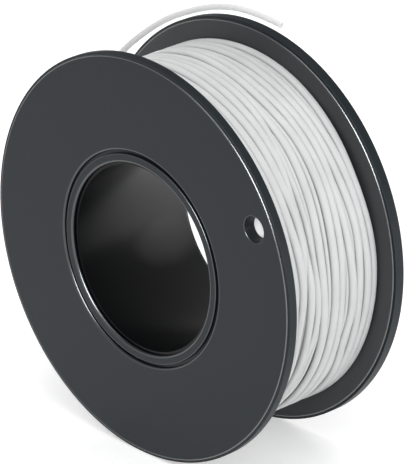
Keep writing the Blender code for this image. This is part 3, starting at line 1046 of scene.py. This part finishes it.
class SPOOL_OT_stage(bpy.types.Operator):
    """Sets the pale floor, the white surroundings and the soft lamps"""

    bl_idname = "spool.stage"
    bl_label = "Stage"

    def seen(self, finish):
        """1 where the camera, a reflection or a view through glass looks, and 0 for the light on the object."""
        rays = finish.node("LightPath")
        camera, glossy, through_glass = (
            finish.value(rays, name) for name in ("Is Camera Ray", "Is Glossy Ray", "Is Transmission Ray")
        )
        either = camera.maths("MAXIMUM", camera, glossy)
        return either.maths("MAXIMUM", either, through_glass)

    def floor(self, context):
        """A round floor under the rims. It glows for the camera and reflections, and more so far off."""
        stage, looks = context.scene.spool_stage, context.scene.spool_finishes
        turn = np.arange(FLOOR_CORNERS) * 2 * math.pi / FLOOR_CORNERS
        low = min(AXIS_HEIGHT - context.scene.spool_flange.rim_radius, 0.0)
        points = np.stack([np.cos(turn), np.sin(turn), np.zeros(FLOOR_CORNERS)], axis=1) * stage.floor_radius
        points[:, 2] = low
        mesh = bpy.data.meshes.new("floor")
        mesh.from_pydata(points.tolist(), [], [list(range(FLOOR_CORNERS))])
        floor = bpy.data.objects.new("floor", mesh)
        context.scene.collection.objects.link(floor)
        material, finish = new_material("pale_floor")
        x, y, _ = finish.parts(finish.place())
        far = ((x * x + y * y) ** 0.5).above(*FLOOR_GLOW_REACH)
        camera = finish.value(finish.node("LightPath"), "Is Camera Ray")
        glow = finish.mix(far * camera, *((grey, grey, grey) for grey in FLOOR_GLOW))
        glow = finish.mix(self.seen(finish), (0.0, 0.0, 0.0), glow)
        constants = {"Roughness": 0.9, "Specular IOR Level": 0.0, "Emission Strength": 1.0}
        close_material(finish, {"Base Color": (*looks.floor, 1.0), **constants}, {"Emission Color": glow})
        mesh.materials.append(material)

    def lamp(self, context, name, direction, distance, size, brightness, rays):
        """A round soft lamp that faces the spool; its power is pi times its area times its brightness."""
        data = bpy.data.lights.new(name, "AREA")
        data.shape = "DISK"
        data.size = size
        data.energy = brightness * math.pi * math.pi * size**2 / 4
        lamp = bpy.data.objects.new(name, data)
        context.scene.collection.objects.link(lamp)
        out = Vector(direction).normalized()
        lamp.location = Vector((0.0, 0.0, AXIS_HEIGHT)) + out * distance
        lamp.rotation_mode = "QUATERNION"
        lamp.rotation_quaternion = (-out).to_track_quat("-Z", "Y")
        lamp.visible_diffuse = "diffuse" in rays
        lamp.visible_glossy = "glossy" in rays
        return lamp

    def light_only(self, lamp, names):
        """Keeps a lamp's light to the named pieces."""
        lit = bpy.data.collections.new(lamp.name + "_pieces")
        for name in names:
            lit.objects.link(bpy.data.objects[name])
        lamp.light_linking.receiver_collection = lit

    def surroundings(self, context):
        """Brighter near the horizon in front and greyer higher up and behind, and seen as white."""
        stage = context.scene.spool_stage
        world = bpy.data.worlds.new("surroundings")
        context.scene.world = world
        finish = Finish(world)
        _, back, up = finish.parts(finish.node("TexCoord").outputs["Generated"])
        bright = (1 - up.above(*BRIGHT_HEIGHTS)) * (1 - back.above(*BRIGHT_DEPTHS))
        camera = finish.value(finish.node("LightPath"), "Is Camera Ray")
        strength = stage.overhead + bright * (stage.horizon - stage.overhead)
        strength = camera + (1 - camera) * strength
        shown = finish.node("Background", None, {"Color": (1.0, 1.0, 1.0, 1.0), "Strength": strength})
        finish.node("OutputWorld", None, {"Surface": shown.outputs[0]})

    def execute(self, context):
        stage = context.scene.spool_stage
        self.floor(context)
        for name, direction, distance, size, rays, pieces in LAMPS:
            lamp = self.lamp(context, name, direction, distance, size, getattr(stage, name), rays)
            if name == "edge_light":
                lamp.data.color = stage.edge_light_tint
            if pieces:
                self.light_only(lamp, pieces)
        self.surroundings(context)
        context.scene.view_settings.view_transform = "Standard"
        return {"FINISHED"}


OPERATORS = [
    SPOOL_OT_camera,
    SPOOL_OT_free_end,
    SPOOL_OT_flanges,
    SPOOL_OT_core_tube,
    SPOOL_OT_inner_turns,
    SPOOL_OT_outer_turns,
    SPOOL_OT_stage,
]

GROUPS = {
    "spool_flange": SpoolFlangeSizes,
    "spool_tube": SpoolTubeSizes,
    "spool_winding": SpoolWindingSizes,
    "spool_finishes": SpoolFinishes,
    "spool_stage": SpoolStageSizes,
}


class SPOOL_PT_panel(bpy.types.Panel):
    """The spool's sizes, finishes and pieces"""

    bl_idname = "SPOOL_PT_panel"
    bl_label = "Filament spool"
    bl_space_type = "VIEW_3D"
    bl_region_type = "UI"
    bl_category = "Spool"

    def draw(self, context):
        for pointer, group in GROUPS.items():
            box = self.layout.box()
            for name in group.__annotations__:
                box.prop(getattr(context.scene, pointer), name)
        for operator in OPERATORS:
            self.layout.operator(operator.bl_idname)


def register():
    for kind in (*GROUPS.values(), *OPERATORS, SPOOL_PT_panel):
        bpy.utils.register_class(kind)
    for pointer, group in GROUPS.items():
        setattr(bpy.types.Scene, pointer, bpy.props.PointerProperty(type=group))


def unregister():
    for pointer in GROUPS:
        delattr(bpy.types.Scene, pointer)
    for kind in (SPOOL_PT_panel, *reversed(OPERATORS), *reversed(GROUPS.values())):
        bpy.utils.unregister_class(kind)


def main():
    register()
    bpy.ops.spool.camera()
    bpy.ops.spool.free_end()
    bpy.ops.spool.flanges()
    bpy.ops.spool.core_tube()
    bpy.ops.spool.inner_turns()
    bpy.ops.spool.outer_turns()
    bpy.ops.spool.stage()


if __name__ == "__main__":
    main()
